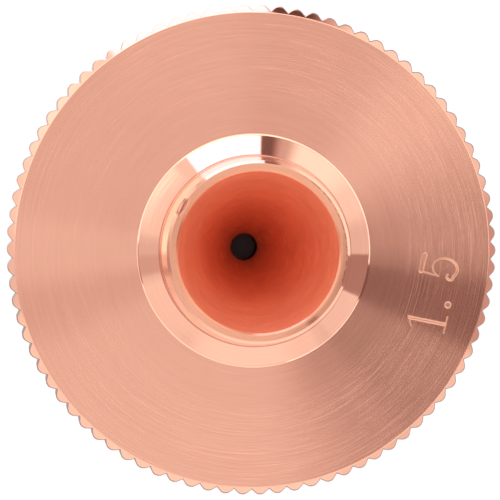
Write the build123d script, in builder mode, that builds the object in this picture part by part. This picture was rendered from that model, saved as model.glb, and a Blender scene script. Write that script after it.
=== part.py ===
from build123d import *
import math
import os

# Laser cutting nozzle, turned from one piece of copper bar.
# It stands on its tip, as on a bench: z = 0 is the flat of the tip, +Z runs up the beam
# axis to the gas inlet, and the inlet end screws up into the cutting head.

# Overall sizes, millimetres
overall_height = 15.0
rim_diameter = 28.0

# Gas and beam passage
orifice_diameter = 1.5
orifice_land = 2.0
orifice_entry_chamfer = 0.06
inlet_diameter = 9.06
inlet_chamfer = 0.08

# Nose, the end that faces the sheet
tip_diameter = 5.0
tip_edge_chamfer = 0.2
nose_base_diameter = 20.0
nose_height = 5.6

# Grip rim
rim_front_chamfer = 0.4
rim_height = 3.74
rim_back_chamfer = 0.46

# Knurl of straight teeth round the rim
knurl_teeth = 86
knurl_depth = 0.33
knurl_flank_angle = 45.0

# Back of the rim, a very shallow cone that carries the size mark
back_rise = 0.9

# Polished seat, a bevel that seals against the cutting head
seat_outer_diameter = 13.18
seat_height = 0.85

# Stub: a short register that carries the fine thread, then a smooth tapered lead
register_diameter = 10.84
register_height = 0.75
lead_start_diameter = 10.72
lead_end_diameter = 10.12
lip_diameter = 9.92
lip_edge_height = 0.15

# Radii and heights that follow from the sizes above
rim_radius = rim_diameter / 2
orifice_radius = orifice_diameter / 2
register_radius = register_diameter / 2
rim_bottom = nose_height
rim_top = rim_bottom + rim_front_chamfer + rim_height
face_radius = rim_radius - rim_back_chamfer
seat_bottom = rim_top + back_rise
seat_top = seat_bottom + seat_height
lead_bottom = seat_top + register_height
blank_radius = rim_radius + knurl_depth
blank_step = blank_radius - rim_radius

# The turned section of the metal, in the XZ half plane, from the tip outwards and up
outside = [
    (tip_diameter / 2 - tip_edge_chamfer, 0),
    (tip_diameter / 2, tip_edge_chamfer),
    (nose_base_diameter / 2, nose_height),
    (rim_radius - rim_front_chamfer, rim_bottom),
    (blank_radius, rim_bottom + rim_front_chamfer + blank_step),
    (blank_radius, rim_top - rim_back_chamfer - blank_step),
    (face_radius, rim_top),
    (seat_outer_diameter / 2, seat_bottom),
    (register_radius, seat_top),
    (register_radius, lead_bottom),
    (lead_start_diameter / 2, lead_bottom),
    (lead_end_diameter / 2, overall_height - lip_edge_height),
    (lip_diameter / 2, overall_height),
]

# The passage: the orifice's straight land, its entry, the long inlet cone and its mouth
passage = [
    (inlet_diameter / 2, overall_height),
    (inlet_diameter / 2 - inlet_chamfer, overall_height - inlet_chamfer),
    (orifice_radius + orifice_entry_chamfer, orifice_land),
    (orifice_radius, orifice_land - orifice_entry_chamfer),
    (orifice_radius, 0),
]


def tooth_point(radius, angle, tooth):
    """A point of one knurl tooth, by its radius and its angle from the tooth's crest."""
    turn = 2 * math.pi * tooth / knurl_teeth + angle
    return (radius * math.cos(turn), radius * math.sin(turn))


# One knurl tooth seen along the axis: two straight flanks that rise from sharp valleys,
# and a round crest that is tangent to both and just reaches the rim's diameter
half_pitch = math.pi / knurl_teeth
flank = math.radians(knurl_flank_angle)
valley_radius = rim_radius - knurl_depth
sharp_crest = valley_radius * (math.cos(half_pitch) + math.sin(half_pitch) / math.tan(flank))
crest_radius = (sharp_crest - rim_radius) / (1 / math.sin(flank) - 1)
tangent_x = sharp_crest - crest_radius / math.tan(flank) * math.cos(flank)
tangent_y = crest_radius / math.tan(flank) * math.sin(flank)
tangent_radius = math.hypot(tangent_x, tangent_y)
tangent_angle = math.atan2(tangent_y, tangent_x)

with BuildPart() as nozzle_body:
    # The whole section is turned at once
    with BuildSketch(Plane.XZ):
        with BuildLine():
            Polyline(*outside, *passage, close=True)
        make_face()
    revolve(axis=Axis.Z)

    # The knurl's outline trims the rim to its teeth, chamfers and all
    with BuildSketch(Plane.XY):
        with BuildLine():
            for tooth in range(knurl_teeth):
                Polyline(
                    tooth_point(valley_radius, -half_pitch, tooth),
                    tooth_point(tangent_radius, -tangent_angle, tooth),
                )
                ThreePointArc(
                    tooth_point(tangent_radius, -tangent_angle, tooth),
                    tooth_point(rim_radius, 0, tooth),
                    tooth_point(tangent_radius, tangent_angle, tooth),
                )
                Polyline(
                    tooth_point(tangent_radius, tangent_angle, tooth),
                    tooth_point(valley_radius, half_pitch, tooth),
                )
        make_face()
    extrude(amount=overall_height, mode=Mode.INTERSECT)

nozzle_body.part.label = "nozzle_body"

os.makedirs("parts", exist_ok=True)
export_step(nozzle_body.part, "parts/nozzle_body.step")

print("height", overall_height, "rim", rim_diameter)
print("seat", seat_bottom, seat_top, "lead starts", lead_bottom)
print("crest radius", crest_radius, "volume", nozzle_body.part.volume)
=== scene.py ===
import math

import bpy
import numpy as np
from mathutils import Matrix, Vector


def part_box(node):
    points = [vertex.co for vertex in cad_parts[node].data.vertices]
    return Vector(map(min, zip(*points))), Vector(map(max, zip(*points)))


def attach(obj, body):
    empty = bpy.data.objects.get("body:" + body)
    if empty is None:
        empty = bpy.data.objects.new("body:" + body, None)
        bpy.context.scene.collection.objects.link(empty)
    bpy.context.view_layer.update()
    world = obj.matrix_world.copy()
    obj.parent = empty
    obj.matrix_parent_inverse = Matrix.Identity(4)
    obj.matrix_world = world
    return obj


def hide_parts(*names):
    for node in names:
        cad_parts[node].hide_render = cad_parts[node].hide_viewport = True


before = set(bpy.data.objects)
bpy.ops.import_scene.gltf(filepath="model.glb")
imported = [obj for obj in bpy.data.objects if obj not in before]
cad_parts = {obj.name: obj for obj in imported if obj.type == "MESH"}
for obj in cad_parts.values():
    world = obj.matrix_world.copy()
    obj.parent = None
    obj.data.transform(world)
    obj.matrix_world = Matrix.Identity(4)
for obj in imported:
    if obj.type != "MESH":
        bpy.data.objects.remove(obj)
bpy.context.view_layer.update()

MM = 0.001

# Sizes of the nozzle, millimetres. Its height and rim come from the frame; the rest are the
# turned steps of the section, from the tip to the lip.
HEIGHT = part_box("nozzle_body")[1][2] / MM
RIM_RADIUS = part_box("nozzle_body")[1][0] / MM
ORIFICE_RADIUS = 0.75
ORIFICE_LAND = 2.0
ORIFICE_ENTRY = 0.06
MOUTH_RADIUS = 4.62
MOUTH_CHAMFER = 0.11
MOUTH_CHAMFER_DEPTH = 0.9 * MOUTH_CHAMFER
TIP_RADIUS = 2.5
TIP_CHAMFER = 0.2
NOSE_BASE_RADIUS = 10.0
NOSE_HEIGHT = 5.6
FRONT_CHAMFER = 0.4
RIM_HEIGHT = 3.74
BACK_CHAMFER = 0.46
BACK_RISE = 0.9
SEAT_RADIUS = 6.59
SEAT_HEIGHT = 0.85
REGISTER_RADIUS = 5.42
REGISTER_HEIGHT = 0.75
REGISTER_EDGE = 0.03
LEAD_START_RADIUS = 5.36
LEAD_FOOT_TAPER = 0.03
LEAD_FOOT_HEIGHT = 0.261
LEAD_END_RADIUS = 5.13
LIP_RADIUS = 4.96
LIP_EDGE_HEIGHT = 0.15

FACE_RADIUS = RIM_RADIUS - BACK_CHAMFER
FRONT_RADIUS = RIM_RADIUS - FRONT_CHAMFER
RIM_TOP = NOSE_HEIGHT + FRONT_CHAMFER + RIM_HEIGHT
SEAT_BOTTOM = RIM_TOP + BACK_RISE
SEAT_TOP = SEAT_BOTTOM + SEAT_HEIGHT
LEAD_BOTTOM = SEAT_TOP + REGISTER_HEIGHT

# Knurl: its teeth, how far their crests may be worn and how much they may lean, and their
# rolled-over edge: its width, its drop, the place of its bend and its turn past the chamfer
TEETH = 86
TOOTH_DEPTH = 0.33
TOOTH_FLANK = math.radians(45)
TOOTH_WEAR = 0.035
TOOTH_LEAN = 0.12
TOOTH_EDGE = 0.09
TOOTH_EDGE_DROP = 0.15
TOOTH_EDGE_BEND = 0.6
TOOTH_EDGE_TURN = math.radians(36)

# Columns round the turned part of the mesh
TURNED_COLUMNS = 4 * TEETH

# The turned part ends a little way out on each of the rim's chamfers, and a narrow strip joins
# it to the toothed part
FRONT_SEAM = 0.05
BACK_SEAM = 0.04
SEAM_STRIP = 0.02

# Fine thread on the register, which runs out on the foot of the lead. The groove reaches to
# both sides of its middle and has a flat floor, in shares of the pitch.
THREAD_PITCH = 0.6
THREAD_DEPTH = 0.2
THREAD_TOP = LEAD_BOTTOM + 0.25
THREAD_RUN_IN = 0.12
THREAD_RUN_OUT = 0.35
GROOVE_REACH = 0.3125
GROOVE_FLOOR = 0.0625

# Window of fine mesh that holds the size mark, in the mark's own axes, millimetres:
# x reads along the mark, y points to the top of its digits, and the origin is the foot of the 1
MARK_ORIGIN = (11.043, -4.254)
MARK_TURN = math.radians(77.2)
MARK_X = (-0.72, 3.95)
MARK_Y = (-0.28, 2.5)
MARK_STEP = 0.027
MARK_WINDOW_RADII = (8.55, 12.62)
MARK_WINDOW_AZIMUTHS = (math.radians(-31.0), math.radians(4.0))

# Relief of the mark's strokes. The burr stands a little inside each stroke's edge, and the
# edge and the trough's floor begin at these distances inside it, over short ramps. Below zero
# is outside.
MARK_DEPTH = 0.012
MARK_BURR = 0.008
MARK_BURR_PLACE = 0.03
MARK_BURR_WIDTH = 0.028
MARK_EDGE_START = -0.012
MARK_FLOOR_START = 0.045
MARK_RAMP = 0.03
MARK_FLOOR_CLEAN = 0.6

# The bruise on the lip, and how far below the lip it may reach
NICK_RADIUS = 4.97
NICK_AZIMUTH = math.radians(149.3)
NICK_HALF_WIDTH = 0.17
NICK_HALF_LENGTH = 0.5
NICK_DEPTH = 0.05
NICK_REACH = 0.4

# Depths from which a point of the thread or of the bruise takes a fresh normal
THREAD_SHOWS = 1e-4
NICK_SHOWS = 5e-4

# The pattern on the back face starts at its own distance along the section, and reaches this
# far inwards and upwards onto the seat
BACK_START = 100.0
BACK_REACH = (0.1, 0.05)

# Points, heights and radii nearer than these, millimetres, are the same
SAME_POINT = 1e-7
SAME_HEIGHT = 1e-6
SAME_RADIUS = 0.001

# Finishes, in the order of the material slots
FINISHES = ["turned", "polished", "lip", "bore", "knurl", "thread", "orifice", "lead"]


def back_height(radius):
    """Height of the shallow conical back face at a radius: a straight line from rim to seat."""
    share = (FACE_RADIUS - radius) / (FACE_RADIUS - SEAT_RADIUS)
    return RIM_TOP + BACK_RISE * share


def back_along(radius):
    """Distance along the section on the back face: its own start plus the way from the seat."""
    return BACK_START + (radius - SEAT_RADIUS)


# The section's corners, from the rim's front edge round the tip, up the passage, over the lip
# and out to the rim's back edge: radius, height, rounding, finish of the stretch that follows,
# and the longest step between rows of mesh on it
SECTION = [
    (FRONT_RADIUS + FRONT_SEAM, NOSE_HEIGHT + FRONT_SEAM, 0.0, "polished", 1.0),
    (FRONT_RADIUS, NOSE_HEIGHT, 0.03, "turned", 0.8),
    (NOSE_BASE_RADIUS, NOSE_HEIGHT, 0.3, "turned", 0.8),
    (TIP_RADIUS, TIP_CHAMFER, 0.08, "polished", 1.0),
    (TIP_RADIUS - TIP_CHAMFER, 0.0, 0.05, "turned", 0.5),
    (ORIFICE_RADIUS, 0.0, 0.03, "orifice", 0.5),
    (ORIFICE_RADIUS, ORIFICE_LAND - ORIFICE_ENTRY, 0.02, "orifice", 1.0),
    (ORIFICE_RADIUS + ORIFICE_ENTRY, ORIFICE_LAND, 0.02, "bore", 1.2),
    (MOUTH_RADIUS - MOUTH_CHAMFER, HEIGHT - MOUTH_CHAMFER_DEPTH, 0.04, "lip", 0.05),
    (MOUTH_RADIUS, HEIGHT, 0.03, "lip", 0.05),
    (LIP_RADIUS, HEIGHT, 0.03, "polished", 0.05),
    (LEAD_END_RADIUS, HEIGHT - LIP_EDGE_HEIGHT, 0.03, "lead", 0.6),
    (LEAD_START_RADIUS - LEAD_FOOT_TAPER, LEAD_BOTTOM + LEAD_FOOT_HEIGHT, 0.0, "polished", 0.03),
    (LEAD_START_RADIUS, LEAD_BOTTOM, 0.015, "thread", 0.03),
    (REGISTER_RADIUS, LEAD_BOTTOM - REGISTER_EDGE, 0.02, "thread", 0.03),
    (REGISTER_RADIUS, SEAT_TOP, 0.08, "polished", 0.3),
    (SEAT_RADIUS, SEAT_BOTTOM, 0.35, "turned", 0.8),
    (MARK_WINDOW_RADII[0], back_height(MARK_WINDOW_RADII[0]), 0.0, "turned", 9.0),
    (MARK_WINDOW_RADII[1], back_height(MARK_WINDOW_RADII[1]), 0.0, "turned", 0.8),
    (FACE_RADIUS, RIM_TOP, 0.12, "polished", 1.0),
    (FACE_RADIUS + BACK_SEAM, RIM_TOP - BACK_SEAM, 0.0, "polished", 1.0),
]


def section_rows(section, arc_steps=4):
    """Rows of the turned section: along each straight, evenly spaced points with its own
    normal; at each rounded corner, points at equal shares of the turn on the tangent arc,
    whose normals turn with them. Gives radius, height, normal and finish of each row."""
    corner = np.array([c[:2] for c in section])
    legs = np.diff(corner, axis=0)
    length = np.hypot(legs[:, 0], legs[:, 1])
    along = legs / length[:, None]
    outward = np.stack([-along[:, 1], along[:, 0]], axis=1)
    rows = []
    trim = np.zeros(len(section))
    for k in range(1, len(section) - 1):
        turn = math.acos(max(-1.0, min(1.0, float(along[k - 1] @ along[k]))))
        trim[k] = section[k][2] * math.tan(turn / 2)
    for k, leg in enumerate(along):
        start = corner[k] + leg * trim[k]
        end = corner[k + 1] - leg * trim[k + 1]
        span = float(np.hypot(*(end - start)))
        steps = max(1, math.ceil(span / section[k][4]))
        finish = section[k][3]
        for share in np.linspace(0.0, 1.0, steps + 1):
            rows.append((*(start + (end - start) * share), *outward[k], finish))
        if k + 1 < len(along) and trim[k + 1] > 0:
            rounding = section[k + 1][2]
            rows += corner_arc(end, outward[k], outward[k + 1], rounding, arc_steps, finish)
    kept = [rows[0]]
    for row in rows[1:]:
        if math.hypot(row[0] - kept[-1][0], row[1] - kept[-1][1]) > SAME_POINT:
            kept.append(row)
        else:
            kept[-1] = row
    return kept


def corner_arc(start, normal_in, normal_out, rounding, steps, finish):
    """Inner points of a tangent arc: the centre stands one rounding from the start, on the side
    the section turns to, and the radius vector turns evenly from the first normal to the last."""
    cross = normal_in[0] * normal_out[1] - normal_in[1] * normal_out[0]
    side = math.copysign(1.0, cross)
    centre = start + side * rounding * normal_in
    turn = math.atan2(cross, float(normal_in @ normal_out))
    rows = []
    for share in np.arange(1, steps) / steps:
        c, s = math.cos(turn * share), math.sin(turn * share)
        normal = np.array([c * normal_in[0] - s * normal_in[1], s * normal_in[0] + c * normal_in[1]])
        point = centre - side * rounding * normal
        rows.append((*point, *normal, finish))
    return rows


def add_object(name, data):
    """Puts a new object with this data into the scene, at the origin."""
    added = bpy.data.objects.new(name, data)
    bpy.context.scene.collection.objects.link(added)
    return added


class Surface:
    """Gathers points with their normals, finishes and faces, and writes them as one mesh."""

    def __init__(self):
        self.points = []
        self.normals = []
        self.along = []
        self.mark = []
        self.renewed = []
        self.count = 0
        self.faces = []
        self.finish = []

    def add(self, points, normals, along, mark=None, renewed=None):
        """Adds an array of points of any shape, and gives their numbers in the same shape.
        Along is their place in the pattern of rings, mark how strongly they are marked, and
        renewed says which take a fresh normal from their faces."""
        shape = points.shape[:-1]
        size = int(np.prod(shape))
        self.points.append(points.reshape(-1, 3))
        self.normals.append(normals.reshape(-1, 3))
        self.along.append(np.broadcast_to(along, shape).reshape(-1))
        self.mark.append(np.zeros(size) if mark is None else mark.reshape(-1))
        self.renewed.append(np.zeros(size, bool) if renewed is None else renewed.reshape(-1))
        numbers = np.arange(self.count, self.count + size).reshape(shape)
        self.count += size
        return numbers

    def fill(self, triangles, finish):
        """Adds triangles of point numbers, with one finish or an array of them."""
        self.faces.append(triangles.reshape(-1, 3))
        self.finish.append(np.broadcast_to(finish, triangles.shape[:-1]).reshape(-1))

    def net(self, numbers, finish, closed=True):
        """Two triangles for each cell of a net of rows and columns; closed nets wrap round."""
        if closed:
            numbers = np.concatenate([numbers, numbers[:, :1]], axis=1)
        a, b = numbers[:-1, :-1], numbers[:-1, 1:]
        c, d = numbers[1:, 1:], numbers[1:, :-1]
        cells = np.stack([np.stack([a, b, c], -1), np.stack([a, c, d], -1)], -2)
        self.fill(cells, np.asarray(finish).reshape(-1, 1, 1) if np.ndim(finish) else finish)

    def zip(self, loop_a, angle_a, loop_b, angle_b, finish):
        """Closes the strip between two loops round one centre. Each loop's edges are taken in
        the order of their middle angles, and each is joined to the point that the other loop
        has reached there."""
        order_a, order_b = np.argsort(angle_a), np.argsort(angle_b)
        loop_a, angle_a = loop_a[order_a], angle_a[order_a]
        loop_b, angle_b = loop_b[order_b], angle_b[order_b]
        middle_a = (angle_a + np.append(angle_a[1:], angle_a[0] + 2 * math.pi)) / 2
        middle_b = (angle_b + np.append(angle_b[1:], angle_b[0] + 2 * math.pi)) / 2
        reach_b = np.searchsorted(middle_b, middle_a) % len(loop_b)
        reach_a = np.searchsorted(middle_a, middle_b) % len(loop_a)
        self.fill(np.stack([loop_a, np.roll(loop_a, -1), loop_b[reach_b]], -1), finish)
        self.fill(np.stack([loop_b, np.roll(loop_b, -1), loop_a[reach_a]], -1), finish)

    def build(self, name, materials):
        """Turns every face to agree with its points' normals, takes fresh normals where the
        surface was pressed or cut, and writes the mesh with its attributes."""
        points = np.concatenate(self.points)
        normals = np.concatenate(self.normals)
        renewed = np.concatenate(self.renewed)
        faces = np.concatenate(self.faces)
        finish = np.concatenate(self.finish)
        corner = points[faces]
        face_normal = np.cross(corner[:, 1] - corner[:, 0], corner[:, 2] - corner[:, 0])
        wrong = np.einsum("ij,ij->i", face_normal, normals[faces].sum(axis=1)) < 0
        faces[wrong] = faces[wrong][:, ::-1]
        face_normal[wrong] *= -1
        fresh = np.zeros_like(points)
        for k in range(3):
            np.add.at(fresh, faces[:, k], face_normal)
        fresh /= np.maximum(np.linalg.norm(fresh, axis=1, keepdims=True), 1e-12)
        normals = np.where(renewed[:, None], fresh, normals)
        normals /= np.linalg.norm(normals, axis=1, keepdims=True)
        mesh = bpy.data.meshes.new(name)
        mesh.vertices.add(len(points))
        mesh.vertices.foreach_set("co", (points * MM).astype(np.float32).ravel())
        mesh.loops.add(faces.size)
        mesh.loops.foreach_set("vertex_index", faces.astype(np.int32).ravel())
        mesh.polygons.add(len(faces))
        mesh.polygons.foreach_set("loop_start", np.arange(0, faces.size, 3, dtype=np.int32))
        mesh.polygons.foreach_set("material_index", finish.astype(np.int32))
        mesh.update(calc_edges=True)
        mesh.shade_smooth()
        mesh.normals_split_custom_set_from_vertices(normals)
        for label, values in (("along", self.along), ("mark", self.mark)):
            attribute = mesh.attributes.new(label, "FLOAT", "POINT")
            attribute.data.foreach_set("value", np.concatenate(values).astype(np.float32))
        for material in materials:
            mesh.materials.append(material)
        return add_object(name, mesh)


def tooth_outline():
    """Azimuth, radius and in-plane normal of the knurl's outline. Half a tooth is a sharp
    valley, a straight flank at 45 degrees and an arc tangent to it that ends on the crest; it
    is mirrored for the other half and repeated round the rim. Each crest is worn by a random
    depth, most at its top, and each tooth leans a little to one side."""
    half_pitch = math.pi / TEETH
    valley = RIM_RADIUS - TOOTH_DEPTH
    sharp = valley * (math.cos(half_pitch) + math.sin(half_pitch) / math.tan(TOOTH_FLANK))
    crest = (sharp - RIM_RADIUS) / (1 / math.sin(TOOTH_FLANK) - 1)
    valley_point = np.array([valley * math.cos(half_pitch), valley * math.sin(half_pitch)])
    tangent_point = np.array([sharp - crest * math.cos(TOOTH_FLANK), crest * math.sin(TOOTH_FLANK)])
    flank_shares = np.array([0.97, 0.5, 0.0])
    flank = tangent_point + (valley_point - tangent_point) * flank_shares[:, None]
    flank_normal = np.tile([math.cos(TOOTH_FLANK), math.sin(TOOTH_FLANK)], (len(flank_shares), 1))
    arc_turns = TOOTH_FLANK * np.array([0.8, 0.6, 0.4, 0.2])
    arc_normal = np.stack([np.cos(arc_turns), np.sin(arc_turns)], axis=1)
    arc = np.array([RIM_RADIUS - crest, 0.0]) + crest * arc_normal
    half = np.concatenate([flank, arc])
    half_normal = np.concatenate([flank_normal, arc_normal])
    points = np.concatenate([half * [1, -1], [[RIM_RADIUS, 0]], half[::-1], [valley_point]])
    normals = np.concatenate([
        half_normal * [1, -1], [[1, 0]], half_normal[::-1], [valley_point / valley],
    ])
    rng = np.random.default_rng(7)
    wear = TOOTH_WEAR * rng.random(TEETH) ** 2
    lean = TOOTH_LEAN * (rng.random(TEETH) - 0.5)
    start = 2 * math.pi * np.arange(TEETH)[:, None] / TEETH
    azimuth = np.arctan2(points[:, 1], points[:, 0])[None] + start
    radius = np.hypot(points[:, 0], points[:, 1])[None]
    lift = (radius - valley) / TOOTH_DEPTH
    worn = radius - wear[:, None] * lift ** 2
    normal_azimuth = np.arctan2(normals[:, 1], normals[:, 0])[None] + start
    swing = lean[:, None] * lift * (1 - lift) * half_pitch
    return (azimuth + swing).ravel(), worn.ravel(), normal_azimuth.ravel()


def ring(azimuth, radius, height, normal_radial, normal_height, normal_azimuth=None):
    """Rings of points at the azimuths, with their radius, height and normal."""
    turn = azimuth if normal_azimuth is None else normal_azimuth
    ones = np.ones_like(azimuth)
    points = np.stack([radius * np.cos(azimuth), radius * np.sin(azimuth), height * ones], -1)
    normals = np.stack(
        [normal_radial * np.cos(turn), normal_radial * np.sin(turn), normal_height * ones], -1
    )
    return points, normals


def knurled_rim(surface, first_ring, last_ring, azimuth):
    """The toothed rim between the turned part's two open edges. Both chamfers are cones at 45
    degrees; where they meet the teeth the edge is rolled over, along a quadratic curve that
    starts on the chamfer and ends lower on the tooth, steep but not yet upright."""
    turn, outline, normal_turn = tooth_outline()
    slope = math.sqrt(0.5)
    back_edge = RIM_TOP + FACE_RADIUS - outline
    front_edge = NOSE_HEIGHT + outline - FRONT_RADIUS
    rows = []

    def chamfer_rows(inner_radius, inner_height, edge, up, shares):
        for share in shares:
            radius = inner_radius + (outline - TOOTH_EDGE - inner_radius) * share
            edge_height = edge + up * TOOTH_EDGE
            height = inner_height + (edge_height - inner_height) * share
            rows.append((*ring(turn, radius, height, slope, up * slope), "polished"))

    def edge_rows(edge, up, shares):
        for share in shares:
            first, middle, last = (1 - share) ** 2, 2 * share * (1 - share), share ** 2
            inset = TOOTH_EDGE * (first + TOOTH_EDGE_BEND * middle)
            height = edge + up * (inset - TOOTH_EDGE_DROP * last)
            tilt = math.pi / 4 + TOOTH_EDGE_TURN * share
            heading = turn + (normal_turn - turn) * share
            shape = ring(turn, outline - inset, height, math.sin(tilt), up * math.cos(tilt), heading)
            rows.append((*shape, "knurl"))

    back_start = BACK_SEAM + SEAM_STRIP
    chamfer_rows(FACE_RADIUS + back_start, RIM_TOP - back_start, back_edge, 1.0, (0.0, 0.5))
    edge_rows(back_edge, 1.0, (0.0, 0.3, 0.6, 1.0))
    for share in (0.07, 0.3, 0.5, 0.7, 0.93):
        height = back_edge + (front_edge - back_edge) * share
        rows.append((*ring(turn, outline, height, 1.0, 0.0, normal_turn), "knurl"))
    edge_rows(front_edge, -1.0, (1.0, 0.6, 0.3, 0.0))
    front_start = FRONT_SEAM + SEAM_STRIP
    chamfer_rows(FRONT_RADIUS + front_start, NOSE_HEIGHT + front_start, front_edge, -1.0, (0.5, 0.0))

    points, normals, names = zip(*rows)
    points = np.stack(points)
    numbers = surface.add(points, np.stack(normals), points[..., 2])
    finishes = np.array([FINISHES.index(name) for name in names])
    # A strip with a polished row on one side is polished: that finish has the lower number
    surface.net(numbers, np.minimum(finishes[:-1], finishes[1:]))
    polished = FINISHES.index("polished")
    surface.zip(last_ring, azimuth, numbers[0], turn % (2 * math.pi), polished)
    surface.zip(first_ring, azimuth, numbers[-1], turn % (2 * math.pi), polished)


def thread_cut(azimuth, height):
    """Depth of the fine thread: a rounded V with a narrow flat floor along a right-hand helix,
    whose depth fades to nothing over the last stretch at each end."""
    phase = (height / THREAD_PITCH - azimuth / (2 * math.pi)) % 1.0
    away = np.abs(phase - 0.5)
    groove = np.clip((GROOVE_REACH - away) / (GROOVE_REACH - GROOVE_FLOOR), 0.0, 1.0)
    groove = groove * groove * (3 - 2 * groove)
    run_in = np.clip((height - SEAT_TOP) / THREAD_RUN_IN, 0, 1)
    run_out = np.clip((THREAD_TOP - height) / THREAD_RUN_OUT, 0, 1)
    return THREAD_DEPTH * groove * run_out * run_in


def lip_dent(points):
    """Depth of the bruise on the lip's outer edge: a flat-topped bell, e to the minus fourth
    power, along the edge and across it."""
    radius = np.hypot(points[..., 0], points[..., 1])
    turned = np.arctan2(points[..., 1], points[..., 0]) - NICK_AZIMUTH
    across = (radius - NICK_RADIUS) / NICK_HALF_WIDTH
    length = turned * NICK_RADIUS / NICK_HALF_LENGTH
    near = points[..., 2] > HEIGHT - NICK_REACH
    return NICK_DEPTH * np.exp(-across ** 4 - length ** 4) * near


def segment_distance(points, start, end):
    """Distance from each point to the nearest place on a straight segment."""
    start, end = np.asarray(start), np.asarray(end)
    leg = end - start
    share = np.clip(((points - start) @ leg) / (leg @ leg), 0, 1)
    nearest = start + share[..., None] * leg
    return np.hypot(*np.moveaxis(points - nearest, -1, 0))


def arc_points(centre, radii, start, end, steps):
    """Points of an ellipse's arc from one angle to another, in degrees."""
    turn = np.radians(np.linspace(start, end, steps + 1))
    return np.stack([centre[0] + radii[0] * np.cos(turn), centre[1] + radii[1] * np.sin(turn)], -1)


def mark_strokes():
    """The strokes of the size mark, 1.5, each a line of points and half its width at both
    ends, in the mark's own millimetres."""
    bowl = arc_points((3.12, 0.77), (0.57, 0.72), 138, -128, 26)
    tail = arc_points((2.72, 0.38), (0.17, 0.2), 250, 60, 10)
    return [
        ([(-0.46, 0.0), (0.46, 0.0)], 0.05, 0.05),
        ([(0.02, 0.05), (-0.03, 2.14)], 0.115, 0.105),
        ([(-0.47, 1.95), (0.05, 2.23)], 0.05, 0.05),
        ([(1.14, 0.14), (1.141, 0.141)], 0.21, 0.21),
        ([(2.72, 2.1), (3.62, 2.1)], 0.16, 0.14),
        ([(2.67, 2.2), (2.63, 1.05)], 0.05, 0.05),
        ([(2.63, 1.05), *bowl], 0.05, 0.1),
        ([bowl[-1], *tail], 0.09, 0.07),
    ]


def mark_relief(points):
    """Height of the marked surface and how strongly it is marked, both from the distance inside
    the nearest stroke's edge: a shallow trough with a raised burr along both of its edges, and a
    mask that is full on the burr and weaker on the trough's floor."""
    inside = np.full(points.shape[:-1], -np.inf)
    for line, width_start, width_end in mark_strokes():
        line = np.array(line, float)
        for k in range(len(line) - 1):
            share = k / max(1, len(line) - 2)
            width = width_start + (width_end - width_start) * share
            inside = np.maximum(inside, width - segment_distance(points, line[k], line[k + 1]))
    burr = np.exp(-((inside - MARK_BURR_PLACE) / MARK_BURR_WIDTH) ** 2)
    floor = np.clip((inside - MARK_FLOOR_START) / MARK_RAMP, 0, 1)
    edge = np.clip((inside - MARK_EDGE_START) / MARK_RAMP, 0, 1)
    relief = MARK_BURR * burr * edge - MARK_DEPTH * floor
    return relief, np.clip(edge - MARK_FLOOR_CLEAN * floor, 0, 1)


def border(grid):
    """The outermost cells of a grid, once round."""
    return np.concatenate([grid[0, :-1], grid[:-1, -1], grid[-1, :0:-1], grid[:0:-1, 0]])


def mark_window(surface, outer_loop, outer_points):
    """A net in the mark's own axes, laid on the conical back face and lifted by the relief, and
    zipped to the hole in the turned net round it."""
    x = np.arange(MARK_X[0], MARK_X[1], MARK_STEP)
    y = np.arange(MARK_Y[0], MARK_Y[1], MARK_STEP)
    local = np.stack(np.meshgrid(x, y), -1)
    c, s = math.cos(MARK_TURN), math.sin(MARK_TURN)
    place = np.stack([
        MARK_ORIGIN[0] + c * local[..., 0] - s * local[..., 1],
        MARK_ORIGIN[1] + s * local[..., 0] + c * local[..., 1],
    ], -1)
    radius = np.hypot(place[..., 0], place[..., 1])
    slope = math.atan2(BACK_RISE, FACE_RADIUS - SEAT_RADIUS)
    normals = np.stack([
        math.sin(slope) * place[..., 0] / radius,
        math.sin(slope) * place[..., 1] / radius,
        math.cos(slope) * np.ones_like(radius),
    ], -1)
    points = np.concatenate([place, back_height(radius)[..., None]], -1)
    relief, mask = mark_relief(local)
    points = points + normals * relief[..., None]
    inner = np.zeros(radius.shape, bool)
    inner[2:-2, 2:-2] = True
    numbers = surface.add(points, normals, back_along(radius), mask, inner & (mask > 0))
    surface.net(numbers, FINISHES.index("turned"), closed=False)
    middle = np.array([sum(MARK_X) / 2, sum(MARK_Y) / 2])
    away = outer_points[:, :2] - np.array(MARK_ORIGIN)
    outer_local = np.stack([c * away[:, 0] + s * away[:, 1], -s * away[:, 0] + c * away[:, 1]], -1)
    outer_angle = np.arctan2(*(outer_local - middle).T[::-1])
    border_angle = np.arctan2(*(border(local) - middle).T[::-1])
    surface.zip(outer_loop, outer_angle, border(numbers), border_angle, FINISHES.index("turned"))


def turned_part(rows, azimuth):
    """The section's rows carried round the axis, with the thread cut into the register and the
    bruise pressed into the lip: points, normals, and which points take a fresh normal."""
    radius, height, normal_radial, normal_height = np.array([row[:4] for row in rows]).T[..., None]
    threaded = (height > SEAT_TOP) & (height < THREAD_TOP)
    threaded &= (radius > LEAD_END_RADIUS) & (radius < REGISTER_RADIUS + SAME_RADIUS)
    cut = np.where(threaded, thread_cut(azimuth, height), 0.0)
    points, normals = ring(azimuth, radius - cut, height, normal_radial, normal_height)
    dent = lip_dent(points)
    points[..., 2] -= dent
    return points, normals, (cut > THREAD_SHOWS) | (dent > NICK_SHOWS)


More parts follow.
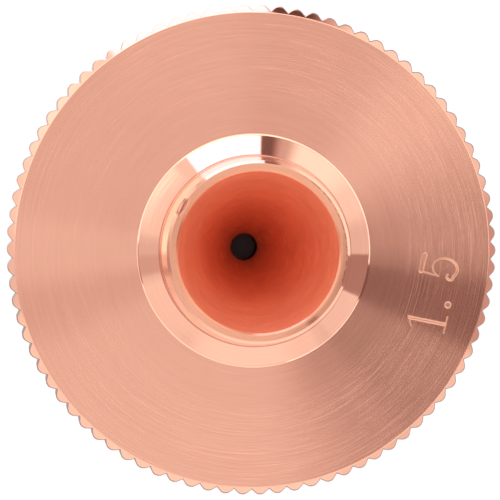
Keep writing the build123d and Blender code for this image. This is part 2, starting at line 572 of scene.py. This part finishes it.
def nozzle_mesh(materials):
    """The whole nozzle as one closed mesh: the turned part is the section carried round the
    axis, the rim is the knurl's outline carried through its own rows, and the mark has a
    window of finer mesh."""
    surface = Surface()
    rows = section_rows(SECTION)
    radius, height = np.array([row[:2] for row in rows]).T
    finish = np.array([FINISHES.index(row[4]) for row in rows])
    azimuth = 2 * math.pi * np.arange(TURNED_COLUMNS) / TURNED_COLUMNS
    points, normals, renewed = turned_part(rows, azimuth)
    steps = np.hypot(np.diff(radius), np.diff(height))
    on_back = (height >= RIM_TOP - SAME_HEIGHT) & (height <= SEAT_BOTTOM + BACK_REACH[1])
    on_back &= radius > SEAT_RADIUS - BACK_REACH[0]
    along = np.where(on_back, back_along(radius), np.concatenate([[0], np.cumsum(steps)]))
    numbers = surface.add(points, normals, along[:, None], renewed=renewed)

    inner_row = np.flatnonzero(np.isclose(radius, MARK_WINDOW_RADII[0]) & on_back)[0]
    outer_row = np.flatnonzero(np.isclose(radius, MARK_WINDOW_RADII[1]) & on_back)[0]
    step = 2 * math.pi / TURNED_COLUMNS
    first = math.floor(MARK_WINDOW_AZIMUTHS[0] / step)
    last = math.ceil(MARK_WINDOW_AZIMUTHS[1] / step)
    window = np.arange(first, last + 1) % TURNED_COLUMNS
    rest = np.arange(last, TURNED_COLUMNS + first + 1) % TURNED_COLUMNS
    surface.net(numbers[:inner_row + 1], finish[:inner_row])
    surface.net(numbers[outer_row:], finish[outer_row:-1])
    surface.net(numbers[[inner_row, outer_row]][:, rest], finish[inner_row:inner_row + 1], closed=False)
    loop = np.concatenate([numbers[inner_row, window], numbers[outer_row, window[::-1]]])
    loop_points = np.concatenate([points[inner_row, window], points[outer_row, window[::-1]]])
    mark_window(surface, loop, loop_points)
    knurled_rim(surface, numbers[0], numbers[-1], azimuth)
    return surface.build("nozzle", materials)


class Value:
    """A socket that stands in Python expressions: an operator adds its Math node."""

    def __init__(self, tree, socket):
        self.tree = tree
        self.socket = socket

    def math(self, operation, *others):
        """Any Math node that takes this value first."""
        return self.tree.math(operation, self, *others)

    def __add__(self, other):
        return self.math("ADD", other)

    __radd__ = __add__

    def __sub__(self, other):
        return self.math("SUBTRACT", other)

    def __rsub__(self, other):
        return self.tree.math("SUBTRACT", other, self)

    def __mul__(self, other):
        return self.math("MULTIPLY", other)

    __rmul__ = __mul__

    def __truediv__(self, other):
        return self.math("DIVIDE", other)

    def __rtruediv__(self, other):
        return self.tree.math("DIVIDE", other, self)


class Tree:
    """One material's or world's nodes, emptied when it is made."""

    def __init__(self, owner):
        owner.use_nodes = True
        self.nodes = owner.node_tree.nodes
        self.links = owner.node_tree.links
        self.nodes.clear()

    def node(self, kind, settings=None, sockets=None, output=0):
        """Adds a node: its settings first, then a value or a link for each socket named, and
        gives the output asked for, or the node itself."""
        made = self.nodes.new(kind)
        for name, value in (settings or {}).items():
            setattr(made, name, value)
        for name, value in (sockets or {}).items():
            if isinstance(value, Value):
                self.links.new(value.socket, made.inputs[name])
            else:
                made.inputs[name].default_value = value
        return made if output is None else Value(self, made.outputs[output])

    def math(self, operation, *inputs):
        """A Math node on these inputs, values or plain numbers."""
        return self.node("ShaderNodeMath", {"operation": operation}, dict(enumerate(inputs)))

    def also(self, value, output):
        """Another output of the node that a value comes from."""
        return Value(self, value.socket.node.outputs[output])

    def split(self, vector):
        """The three parts of a vector."""
        x = self.node("ShaderNodeSeparateXYZ", None, {"Vector": vector}, "X")
        return x, self.also(x, "Y"), self.also(x, "Z")

    def noise(self, place, scale):
        """Noise at a place, with its detail set to two."""
        sockets = {"Vector": place, "Scale": scale, "Detail": 2.0}
        return self.node("ShaderNodeTexNoise", None, sockets, "Fac")

    def mix(self, share, first, second):
        """A colour between two others."""
        sockets = {"Factor": share, 6: first, 7: second}
        return self.node("ShaderNodeMix", {"data_type": "RGBA"}, sockets, 2)

    def colour(self, red, green, blue):
        """A colour from its three parts."""
        return self.node("ShaderNodeCombineColor", None, {"Red": red, "Green": green, "Blue": blue})

    def glow(self, colour):
        """Light of a colour."""
        return self.node("ShaderNodeEmission", None, {"Color": colour, "Strength": 1.0})

    def bump(self, height, depth):
        """The normal of a surface that rises with the height, up to the depth in metres."""
        return self.node("ShaderNodeBump", None, {"Strength": 1.0, "Distance": depth, "Height": height})

    def finish(self, kind, value):
        """Ends the tree in an output node of this kind."""
        self.node(kind, {"is_active_output": True}, {"Surface": value}, None)


def smooth_step(tree, value, low, high, at_low=0.0, at_high=1.0):
    """A smooth step from one value to another as the input goes from low to high."""
    return tree.node(
        "ShaderNodeMapRange",
        {"interpolation_type": "SMOOTHSTEP"},
        {"Value": value, "From Min": low, "From Max": high, "To Min": at_low, "To Max": at_high},
    )


def band(tree, value, rise, fall):
    """One between a rising and a falling smooth step, and zero outside them."""
    return smooth_step(tree, value, *rise) * smooth_step(tree, value, *fall, 1.0, 0.0)


def clockwise(x, y):
    """Azimuth in degrees, clockwise as seen from the inlet side, from the size mark's side."""
    return y.math("ARCTAN2", x) * (-180 / math.pi)


def sector(tree, azimuth, start, end, soft):
    """One between two azimuths and zero outside, over soft edges."""
    middle, half = (start + end) / 2, (end - start) / 2
    away = (azimuth - middle).math("WRAP", 180.0, -180.0).math("ABSOLUTE")
    return smooth_step(tree, away, half - soft / 2, half + soft / 2, 1.0, 0.0)


# Copper's mirror colour in white light, linear, the warmer colours of its matte finishes, a paler
# one that paints brighter reflections on the lead, darker ones that paint shade in the thread, on
# the knurl's teeth, in the orifice and on the lip, and the one burnt by the marking
COPPER = (1.0, 0.515, 0.37)
MATTE_COPPER = (1.0, 0.47, 0.3)
# Paler than copper's mirror colour: painted brightness in the lead's reflections
LEAD_COPPER = (1.0, 0.6, 0.43)
BORE_COPPER = (1.0, 0.41, 0.24)
# Darker than copper: painted shade in the thread's grooves
THREAD_COPPER = (0.68, 0.3, 0.21)
# Painted shade: greyer and darker than copper on the teeth's sides and rolled edges, for their outlines
ROLLED_COPPER = (0.87, 0.54, 0.45)
# Dark: painted shade in the orifice
ORIFICE_COPPER = (0.35, 0.17, 0.14)
# Dark colour of the painted shade on the lip and on the bruise
LIP_SHADE_COPPER = (0.48, 0.175, 0.12)
BURNT_COPPER = (0.82, 0.41, 0.27)

# Large soft blotches and the fine grain of the mark, in waves to the metre; the grain's pits
# in metres; and the radii over which the back face's rings grow from faint to full
BLOTCH_SCALE = 300.0
GRAIN_SCALE = 16000.0
PIT_DEPTH = 0.003 * MM
COARSE_RADII = (8.2, 9.4)


def copper(
    name, colour, roughness, anisotropy, rings_per_mm, slope, tone, rough_spread,
    back_face=False, lip=False,
):
    """Turned copper. Rings of noise run round the axis: they shift the colour, the roughness and
    the slope of the surface. The tangent runs round the axis, and a quarter turn of it makes the
    tool marks spread light across themselves, in fans from the axis."""
    material = bpy.data.materials.new(name)
    tree = Tree(material)
    along = tree.node("ShaderNodeAttribute", {"attribute_name": "along"}, None, "Fac")
    place = tree.node("ShaderNodeTexCoord", None, None, "Object")
    x, y, z = tree.split(place)
    radius = (x * x + y * y).math("SQRT")
    heading_x, heading_y = x / radius, y / radius

    def ring_noise(scale, arcs, seed):
        """Noise that changes fast along the section and slowly round the axis."""
        spot = tree.node("ShaderNodeCombineXYZ", None, {
            "X": along * scale + seed, "Y": heading_x * arcs + seed, "Z": heading_y * arcs,
        })
        return tree.noise(spot, 1.0)

    fine = ring_noise(rings_per_mm * 2.3, 5.0, 17.0)
    rings = ring_noise(rings_per_mm, 2.0, 3.0) * 0.6 + fine * 0.4
    shade = (rings - 0.5) * 2.2 + (tree.noise(place, BLOTCH_SCALE) - 0.5) * 0.8 + 0.5
    bright = tuple(min(1.0, c * (1 + tone / 2)) for c in colour)
    dull = tuple(c * (1 - tone / 2) for c in colour)
    tint = tree.mix(shade, (*dull, 1), (*bright, 1))
    # Near the lip, painted shade mixes the tint towards a dark colour
    if lip:
        tint = tree.mix(lip_painted_shade(tree, x / MM, y / MM, radius / MM), tint, (*LIP_SHADE_COPPER, 1))
    height = rings
    if back_face:
        coarse = smooth_step(tree, radius / MM, *COARSE_RADII, 0.25, 1.0)
        grooves = ring_noise(rings_per_mm * 1.3, 1.2, 40.0).math("PINGPONG", 0.5)
        height = rings * coarse + grooves * coarse
    body = tree.node("ShaderNodeBsdfPrincipled", None, {
        "Base Color": tint, "Metallic": 1.0, "Roughness": (rings - 0.5) * rough_spread + roughness,
        "Normal": tree.bump(height, slope * MM / rings_per_mm),
        "Anisotropic": anisotropy, "Anisotropic Rotation": 0.25,
    })
    if back_face:
        body = burnt_mark(tree, body, place)
    tree.finish("ShaderNodeOutputMaterial", body)
    return material


def burnt_mark(tree, body, place):
    """The face's shader, and on the mark's strokes a rougher one with fine pits."""
    mark = tree.node("ShaderNodeAttribute", {"attribute_name": "mark"}, None, "Fac")
    pits = tree.bump(tree.noise(place, GRAIN_SCALE), PIT_DEPTH)
    burnt = tree.node("ShaderNodeBsdfPrincipled", None, {
        "Base Color": (*BURNT_COPPER, 1), "Metallic": 1.0, "Roughness": 0.42, "Normal": pits,
    })
    return tree.node("ShaderNodeMixShader", None, {0: mark, 1: body, 2: burnt})


# Painted shade on the lip's right side, azimuths clockwise from the mark's side: radii of a thin
# broken line and of a soft shade, and the sectors of the line, the shade and a darker patch
SHADE_LINE_RADIUS = 4.92
PAINTED_SHADE_RADIUS = 4.84
SHADE_LINE_SECTOR = (-58, 24, 16)
PAINTED_SHADE_SECTOR = (-12, 70, 16)
SHADE_PATCH_SECTOR = (47.5, 55.5, 5)


def lip_painted_shade(tree, x, y, radius):
    """How dark the lip's painted shade is: a dark rim and slanting core painted on the bruise on its
    left side, an ellipse that lies along the lip, and on its right side a thin broken line, a soft
    shade and a short darker patch, also painted shade."""
    c, s = math.cos(NICK_AZIMUTH), math.sin(NICK_AZIMUTH)
    away_x, away_y = x - NICK_RADIUS * c, y - NICK_RADIUS * s
    across = (away_x * c + away_y * s) / NICK_HALF_WIDTH
    length = (away_y * c - away_x * s) / NICK_HALF_LENGTH
    oval = (across * across + length * length).math("SQRT")
    # Painted shade on the bruise: a dark rim and a slanting dark core
    rim = smooth_step(tree, (oval - 0.9).math("ABSOLUTE"), 0.1, 0.3, 0.5, 0.0)
    rim = rim + smooth_step(tree, oval, 0.9, 1.1, 0.3, 0.0)
    streak = (across + length * 0.35 + 0.2).math("ABSOLUTE")
    core = smooth_step(tree, streak, 0.2, 0.6, 1.0, 0.0)
    core = core * smooth_step(tree, oval, 0.7, 0.95, 1.0, 0.0)
    azimuth = clockwise(x, y)
    # Painted shade on the lip's right side: a thin broken line, a soft shade and a darker patch
    spot = tree.node("ShaderNodeCombineXYZ", None, {"X": azimuth * 0.35, "Y": radius * 3.0, "Z": 0.0})
    breaks = smooth_step(tree, tree.noise(spot, 1.0), 0.42, 0.56, 0.1, 0.7)
    line = smooth_step(tree, (radius - SHADE_LINE_RADIUS).math("ABSOLUTE"), 0.02, 0.05, 1.0, 0.0)
    line = line * breaks * sector(tree, azimuth, *SHADE_LINE_SECTOR)
    off = (radius - PAINTED_SHADE_RADIUS).math("ABSOLUTE")
    shade = smooth_step(tree, off, 0.08, 0.16, 0.26, 0.0) * sector(tree, azimuth, *PAINTED_SHADE_SECTOR)
    patch = smooth_step(tree, off, 0.06, 0.14, 0.6, 0.15) * sector(tree, azimuth, *SHADE_PATCH_SECTOR)
    return rim.math("MAXIMUM", core) + line + shade + patch


def finishes():
    """One material for each finish, in the order of FINISHES."""
    return [
        copper(
            "turned_copper", COPPER, roughness=0.14, anisotropy=1.0, rings_per_mm=6.4,
            slope=0.064, tone=0.06, rough_spread=0.03, back_face=True,
        ),
        copper(
            "polished_copper", COPPER, roughness=0.06, anisotropy=0.3, rings_per_mm=6.0,
            slope=0.01, tone=0.06, rough_spread=0.03, lip=True,
        ),
        copper(
            "matte_lip_copper", MATTE_COPPER, roughness=0.28, anisotropy=0.9, rings_per_mm=10.0,
            slope=0.05, tone=0.12, rough_spread=0.06, lip=True,
        ),
        copper(
            "bored_copper", BORE_COPPER, roughness=0.6, anisotropy=0.3, rings_per_mm=1.3,
            slope=0.12, tone=0.14, rough_spread=0.12,
        ),
        copper(
            "rolled_copper", ROLLED_COPPER, roughness=0.2, anisotropy=0.0, rings_per_mm=5.0,
            slope=0.02, tone=0.1, rough_spread=0.1,
        ),
        copper(
            "threaded_copper", THREAD_COPPER, roughness=0.3, anisotropy=0.4, rings_per_mm=8.0,
            slope=0.03, tone=0.1, rough_spread=0.1,
        ),
        copper(
            "orifice_copper", ORIFICE_COPPER, roughness=0.3, anisotropy=0.3, rings_per_mm=6.0,
            slope=0.03, tone=0.1, rough_spread=0.1,
        ),
        copper(
            "lead_copper", LEAD_COPPER, roughness=0.15, anisotropy=0.3, rings_per_mm=6.0,
            slope=0.02, tone=0.06, rough_spread=0.05, lip=True,
        ),
    ]


# The photograph's camera: its distance, its tilt off the nozzle's axis and the side it tilts to
CAMERA_DISTANCE = 225.0
CAMERA_TILT = math.radians(4.005)
CAMERA_HEADING = math.radians(159.25)
CAMERA_ROLL = math.radians(0.18)
PIXELS_PER_MM = 17.5635
PICTURE = 500.0
PICTURE_CENTRE = (252.655, 250.12)
SENSOR_WIDTH = 36.0

# The tent's roof is laid out round the direction that a level copper face mirrors to this
# camera: these are its first two parts
MIRROR_POINT = (
    -math.sin(CAMERA_TILT) * math.cos(CAMERA_HEADING + CAMERA_ROLL),
    -math.sin(CAMERA_TILT) * math.sin(CAMERA_HEADING + CAMERA_ROLL),
)

# The tent's low wall, millimetres: its radius and top, and the heights over which its foot
# blends into its middle, its middle into its upper part, and its top into plain light
WALL_RADIUS = 60.0
WALL_TOP = 34.0
WALL_STEPS = 720
FOOT_BLEND = (11.5, 13.5)
MIDDLE_BLEND = (20.5, 22.5)
TOP_BLEND = (29.0, 31.0)

# Parts of the wall's upper part: from and to azimuth, width of the soft edge, and light level
WALL_LEVEL = 1.0
WALL_SECTORS = [
    (24, 50, 8, 0.94),
    (68, 117, 16, 1.13),
    (196, 229, 24, 1.65),
    (290, 332, 14, 1.4),
    (326, 350, 18, 1.1),
    (346, 368, 14, 0.8),
    (163, 186, 12, 0.75),
    (165, 176, 4, 0.6),
    (262, 295, 10, 0.62),
    (262, 286, 7, 0.15),
    (228, 237, 4, 1.05),
    (3, 23.5, 1.5, 0.33),
]

# Parts of the wall's middle, in the same terms
MIDDLE_LEVEL = 1.0
MIDDLE_SECTORS = [
    (22, 113, 8, 1.18),
    (113, 160, 8, 1.18),
    (148, 164, 10, 0.95),
    (162, 172, 4, 0.56),
    (168, 177, 4, 1.0),
    (177, 234, 6, 1.98),
    (192, 234, 10, 1.7),
    (262, 296, 8, 0.9),
    (262, 287, 6, 0.28),
    (298, 366, 10, 1.36),
    (236, 277, 2, 2.25),
    (3, 22, 1.5, 0.32),
]

# Parts of the wall's foot, in the same terms
FOOT_LEVEL = 1.1
FOOT_SECTORS = [
    (24, 68, 10, 0.97),
    (70, 128, 12, 1.16),
    (204, 229, 20, 1.5),
    (292, 325, 14, 1.2),
    (328, 350, 12, 0.98),
    (348, 372, 12, 0.5),
    (162, 184, 10, 0.9),
    (262, 294, 12, 0.4),
    (262, 289, 5, 0.09),
    (236, 277, 2, 1.89),
    (6, 24, 4, 0.5),
]

# The lamp panel in the wall: its sector, its light level above the wall's middle, and how much
# bluer than the rest it is all the way down
LAMP_SECTOR = (236, 277, 1.5)
LAMP_LEVEL = 2.1
LAMP_BLUE = 0.36

# A shaded stripe on the wall's left: its sector, the heights of its soft edges and its depth
STRIPE_SECTOR = (120, 234, 10)
STRIPE_HEIGHTS = ((21.0, 23.0), (26.0, 28.5))
STRIPE_DEPTH = 0.3

# Parts of the roof, round the mirror point. The roof's middle has its own level, and the parts
# take over as the slant from the mirror point grows.
ROOF_LEVEL = 0.655
ROOF_MIDDLE_LEVEL = 0.86
ROOF_MIDDLE_SLANTS = (0.08, 0.25)
ROOF_SECTORS = [
    (70.5, 154, 6, 0.72),
    (80, 98, 10, 0.69),
    (158, 171, 8, 0.57),
    (172, 188, 7, 0.755),
    (266, 308, 24, 0.55),
    (310, 330, 12, 0.7),
    (338, 432, 36, 0.25),
    (0, 50, 8, 0.145),
]

# How much the roof brightens outwards over these slants, in the same terms, which shows the
# turned rings; below zero it darkens
RISE_SLANTS = (0.17, 0.4)
RISE_SECTORS = [
    (296, 366, 14, -0.2),
    (25, 62, 4, -0.22),
]

# What the roof's bright ring adds, in the same terms, and the polar angles of its soft edges
RING_LEVEL = 2.1
RING_POLAR = ((38.0, 44.0), (58.0, 64.0))
RING_SECTORS = [
    (72, 163, 6, 0.5),
    (160, 232, 10, 1.1),
    (163, 184, 3, -0.3),
    (20, 72, 6, 1.4),
    (240, 282, 6, 1.6),
    (282, 338, 8, 1.4),
    (338, 367, 8, 1.4),
    (7, 25, 2, -0.1),
]

# A paler zone inside the ring, what it adds and the polar angles of its soft edges; and a dark
# seam in the roof's cloth, with its sector, the slants where it begins and its level
ZONE_LEVEL = 0.65
ZONE_POLAR = ((25.0, 30.0), (38.0, 44.0))
SEAM_SECTOR = (6.8, 24.6, 3)
SEAM_SLANTS = (0.06, 0.14)
SEAM_LEVEL = 0.145


def tent_level(tree, azimuth, plain, sectors):
    """Light level round the tent: the plain level, moved to each sector's own level in turn."""
    level = plain
    for start, end, soft, value in sectors:
        level = level + (value - level) * sector(tree, azimuth, start, end, soft)
    return level


def tent_colour(tree, level, blueness=1.0):
    """White where the tent is bright; the darker it is, the warmer, from the copper's own glow,
    and bluer by the factor given."""
    warmth = (level * 0.47 + 0.58).math("MINIMUM", 1.0)
    return tree.colour(level / warmth, level, level * blueness)


def tent_wall():
    """A low round wall of tent cloth close to the nozzle. It lights the bevels, with a bright
    lamp panel, a dark frame beside it, a grey seam and a dark opening, in three tiers of height
    that blend into each other. Above them it fades to plain light at most."""
    turn = 2 * math.pi * np.arange(WALL_STEPS) / WALL_STEPS
    circle = WALL_RADIUS * MM * np.stack([np.cos(turn), np.sin(turn), 0 * turn], -1)
    points = np.concatenate([circle, circle + [0, 0, WALL_TOP * MM]])
    k = np.arange(WALL_STEPS)
    after = (k + 1) % WALL_STEPS
    quads = np.stack([k, k + WALL_STEPS, after + WALL_STEPS, after], -1)
    mesh = bpy.data.meshes.new("tent_wall")
    mesh.from_pydata(points, [], quads.tolist())
    wall = add_object("tent_wall", mesh)
    wall.visible_camera = False
    wall.visible_shadow = False
    material = bpy.data.materials.new("tent_cloth")
    tree = Tree(material)
    x, y, z = tree.split(tree.node("ShaderNodeTexCoord", None, None, "Object"))
    height = z / MM
    azimuth = clockwise(x, y)
    upper = tent_level(tree, azimuth, WALL_LEVEL, WALL_SECTORS)
    foot = tent_level(tree, azimuth, FOOT_LEVEL, FOOT_SECTORS)
    middle = tent_level(tree, azimuth, MIDDLE_LEVEL, MIDDLE_SECTORS)
    above_middle = smooth_step(tree, height, *MIDDLE_BLEND)
    level = middle + (upper - middle) * above_middle
    level = foot + (level - foot) * smooth_step(tree, height, *FOOT_BLEND)
    level = level.math("MINIMUM", smooth_step(tree, height, *TOP_BLEND, 14.0, 1.0))
    stripe = band(tree, height, *STRIPE_HEIGHTS) * sector(tree, azimuth, *STRIPE_SECTOR)
    level = level * (1.0 - stripe * STRIPE_DEPTH)
    lamp = sector(tree, azimuth, *LAMP_SECTOR)
    level = level + (LAMP_LEVEL - level) * lamp * above_middle
    colour = tent_colour(tree, level, lamp * LAMP_BLUE + 1.0)
    tree.finish("ShaderNodeOutputMaterial", tree.glow(colour))
    material.cycles.emission_sampling = "NONE"
    mesh.materials.append(material)


def sky():
    """The tent's roof: pale panels round the mirror point, a bright ring half way down with a
    paler zone inside it, a dark seam, and plain white to the camera."""
    world = bpy.data.worlds.new("tent_roof")
    bpy.context.scene.world = world
    tree = Tree(world)
    x, y, z = tree.split(tree.node("ShaderNodeTexCoord", None, None, "Generated"))
    away_x, away_y = x - MIRROR_POINT[0], y - MIRROR_POINT[1]
    azimuth = clockwise(away_x, away_y)
    slant = (away_x * away_x + away_y * away_y).math("SQRT")
    polar = z.math("ARCCOSINE") * (180 / math.pi)
    level = tent_level(tree, azimuth, ROOF_LEVEL, ROOF_SECTORS)
    outside = smooth_step(tree, slant, *ROOF_MIDDLE_SLANTS)
    level = (level - ROOF_MIDDLE_LEVEL) * outside + ROOF_MIDDLE_LEVEL
    rise = tent_level(tree, azimuth, 0.0, RISE_SECTORS)
    level = level * (smooth_step(tree, slant, *RISE_SLANTS, -1.0, 1.0) * rise + 1.0)
    ring_share = band(tree, polar, *RING_POLAR)
    level = level + ring_share * tent_level(tree, azimuth, RING_LEVEL, RING_SECTORS)
    level = level + band(tree, polar, *ZONE_POLAR) * ZONE_LEVEL
    seam = sector(tree, azimuth, *SEAM_SECTOR) * smooth_step(tree, slant, *SEAM_SLANTS)
    level = level + (SEAM_LEVEL - level) * seam
    camera_ray = tree.node("ShaderNodeLightPath", None, None, "Is Camera Ray")
    colour = tree.mix(camera_ray, tent_colour(tree, level), (1, 1, 1, 1))
    background = tree.node("ShaderNodeBackground", None, {"Color": colour, "Strength": 1.0})
    tree.finish("ShaderNodeOutputWorld", background)


# The floor as the metal mirrors it, with painted light and shade: levels near the rim and far out,
# darker near the rim as painted shadow, a painted lighter side, and the lamp panel's glow painted
# on it as a pool of light, each with its sector
FLOOR_HALF_WIDTH = 1.5
FLOOR_RADII = (RIM_RADIUS + 4, 75.0)
FLOOR_LEVELS = (0.45, 0.9)
FLOOR_LIGHT_SECTOR = (174, 236, 20)
FLOOR_LIGHT_SHARE = 0.8
FLOOR_LAMP_SECTOR = (232, 280, 8)
FLOOR_LAMP_LEVEL = 1.6

# The floor as the camera sees it: its glow, and the greys of a painted shadow under the nozzle and out
# from it
FLOOR_GLOW = 0.66
FLOOR_SHADOW_GREYS = (0.12, 0.45)
CONTACT_RADII = (TIP_RADIUS, RIM_RADIUS - 2)


def floor():
    """A plain pale floor. The camera sees it white, less a painted shadow of the nozzle, dark where
    the tip rests. The metal mirrors a greyer floor with painted shade and light, black under the nozzle."""
    corners = [(-1, -1), (1, -1), (1, 1), (-1, 1)]
    mesh = bpy.data.meshes.new("floor")
    mesh.from_pydata([(FLOOR_HALF_WIDTH * x, FLOOR_HALF_WIDTH * y, 0) for x, y in corners], [], [range(4)])
    plane = add_object("floor", mesh)
    material = bpy.data.materials.new("pale_floor")
    tree = Tree(material)
    x, y, z = tree.split(tree.node("ShaderNodeTexCoord", None, None, "Object"))
    radius = (x * x + y * y).math("SQRT") / MM
    azimuth = clockwise(x, y)
    camera_ray = tree.node("ShaderNodeLightPath", None, None, "Is Camera Ray")
    mirrored = tree.also(camera_ray, "Is Glossy Ray") + tree.also(camera_ray, "Is Transmission Ray")
    mirrored = mirrored.math("MINIMUM", 1.0)
    outwards = smooth_step(tree, radius, TIP_RADIUS, RIM_RADIUS)
    # Painted shade as the metal mirrors the floor: a shadow darker near the rim, a lighter side, a pool of
    # the lamp's light, and black under the nozzle
    shade = smooth_step(tree, radius, *FLOOR_RADII, *FLOOR_LEVELS)
    light = sector(tree, azimuth, *FLOOR_LIGHT_SECTOR)
    shade = shade + (FLOOR_LEVELS[1] - shade) * FLOOR_LIGHT_SHARE * light
    shade = shade + (FLOOR_LAMP_LEVEL - shade) * sector(tree, azimuth, *FLOOR_LAMP_SECTOR)
    # Painted shadow of the nozzle: a darker floor colour and less glow towards the tip
    contact_shadow = smooth_step(tree, radius, *CONTACT_RADII, *FLOOR_SHADOW_GREYS)
    white = outwards * FLOOR_GLOW * camera_ray
    shade = shade * outwards
    lit = tree.node("ShaderNodeBsdfDiffuse", None, {"Color": tree.colour(contact_shadow, contact_shadow, contact_shadow)})
    both = tree.node("ShaderNodeAddShader", None, {0: lit, 1: tree.glow(tree.colour(white, white, white))})
    grey = tree.glow(tree.colour(shade, shade, shade))
    shown = tree.node("ShaderNodeMixShader", None, {0: mirrored, 1: both, 2: grey})
    tree.finish("ShaderNodeOutputMaterial", shown)
    material.cycles.emission_sampling = "NONE"
    mesh.materials.append(material)


def camera():
    """A camera that looks at the rim's centre from the photograph's side."""
    data = bpy.data.cameras.new("camera")
    view = add_object("camera", data)
    heading = CAMERA_HEADING + CAMERA_ROLL
    back = Vector((
        math.sin(CAMERA_TILT) * math.cos(heading),
        math.sin(CAMERA_TILT) * math.sin(heading),
        math.cos(CAMERA_TILT),
    ))
    up = Vector((-math.sin(CAMERA_ROLL), math.cos(CAMERA_ROLL), 0))
    right = up.cross(back).normalized()
    up = back.cross(right)
    target = Vector((0, 0, RIM_TOP))
    turn = Matrix((right, up, back)).transposed().to_4x4()
    view.matrix_world = Matrix.Translation((target + back * CAMERA_DISTANCE) * MM) @ turn
    data.sensor_fit = "HORIZONTAL"
    data.sensor_width = SENSOR_WIDTH
    data.lens = SENSOR_WIDTH * PIXELS_PER_MM * CAMERA_DISTANCE / PICTURE
    data.shift_x = -(PICTURE_CENTRE[0] - PICTURE / 2) / PICTURE
    data.shift_y = (PICTURE_CENTRE[1] - PICTURE / 2) / PICTURE
    data.clip_start = 0.01
    data.clip_end = 10
    bpy.context.scene.camera = view


nozzle = nozzle_mesh(finishes())
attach(nozzle, "root")
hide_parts("nozzle_body")

floor()
tent_wall()
sky()
camera()
bpy.context.scene.view_settings.view_transform = "Standard"
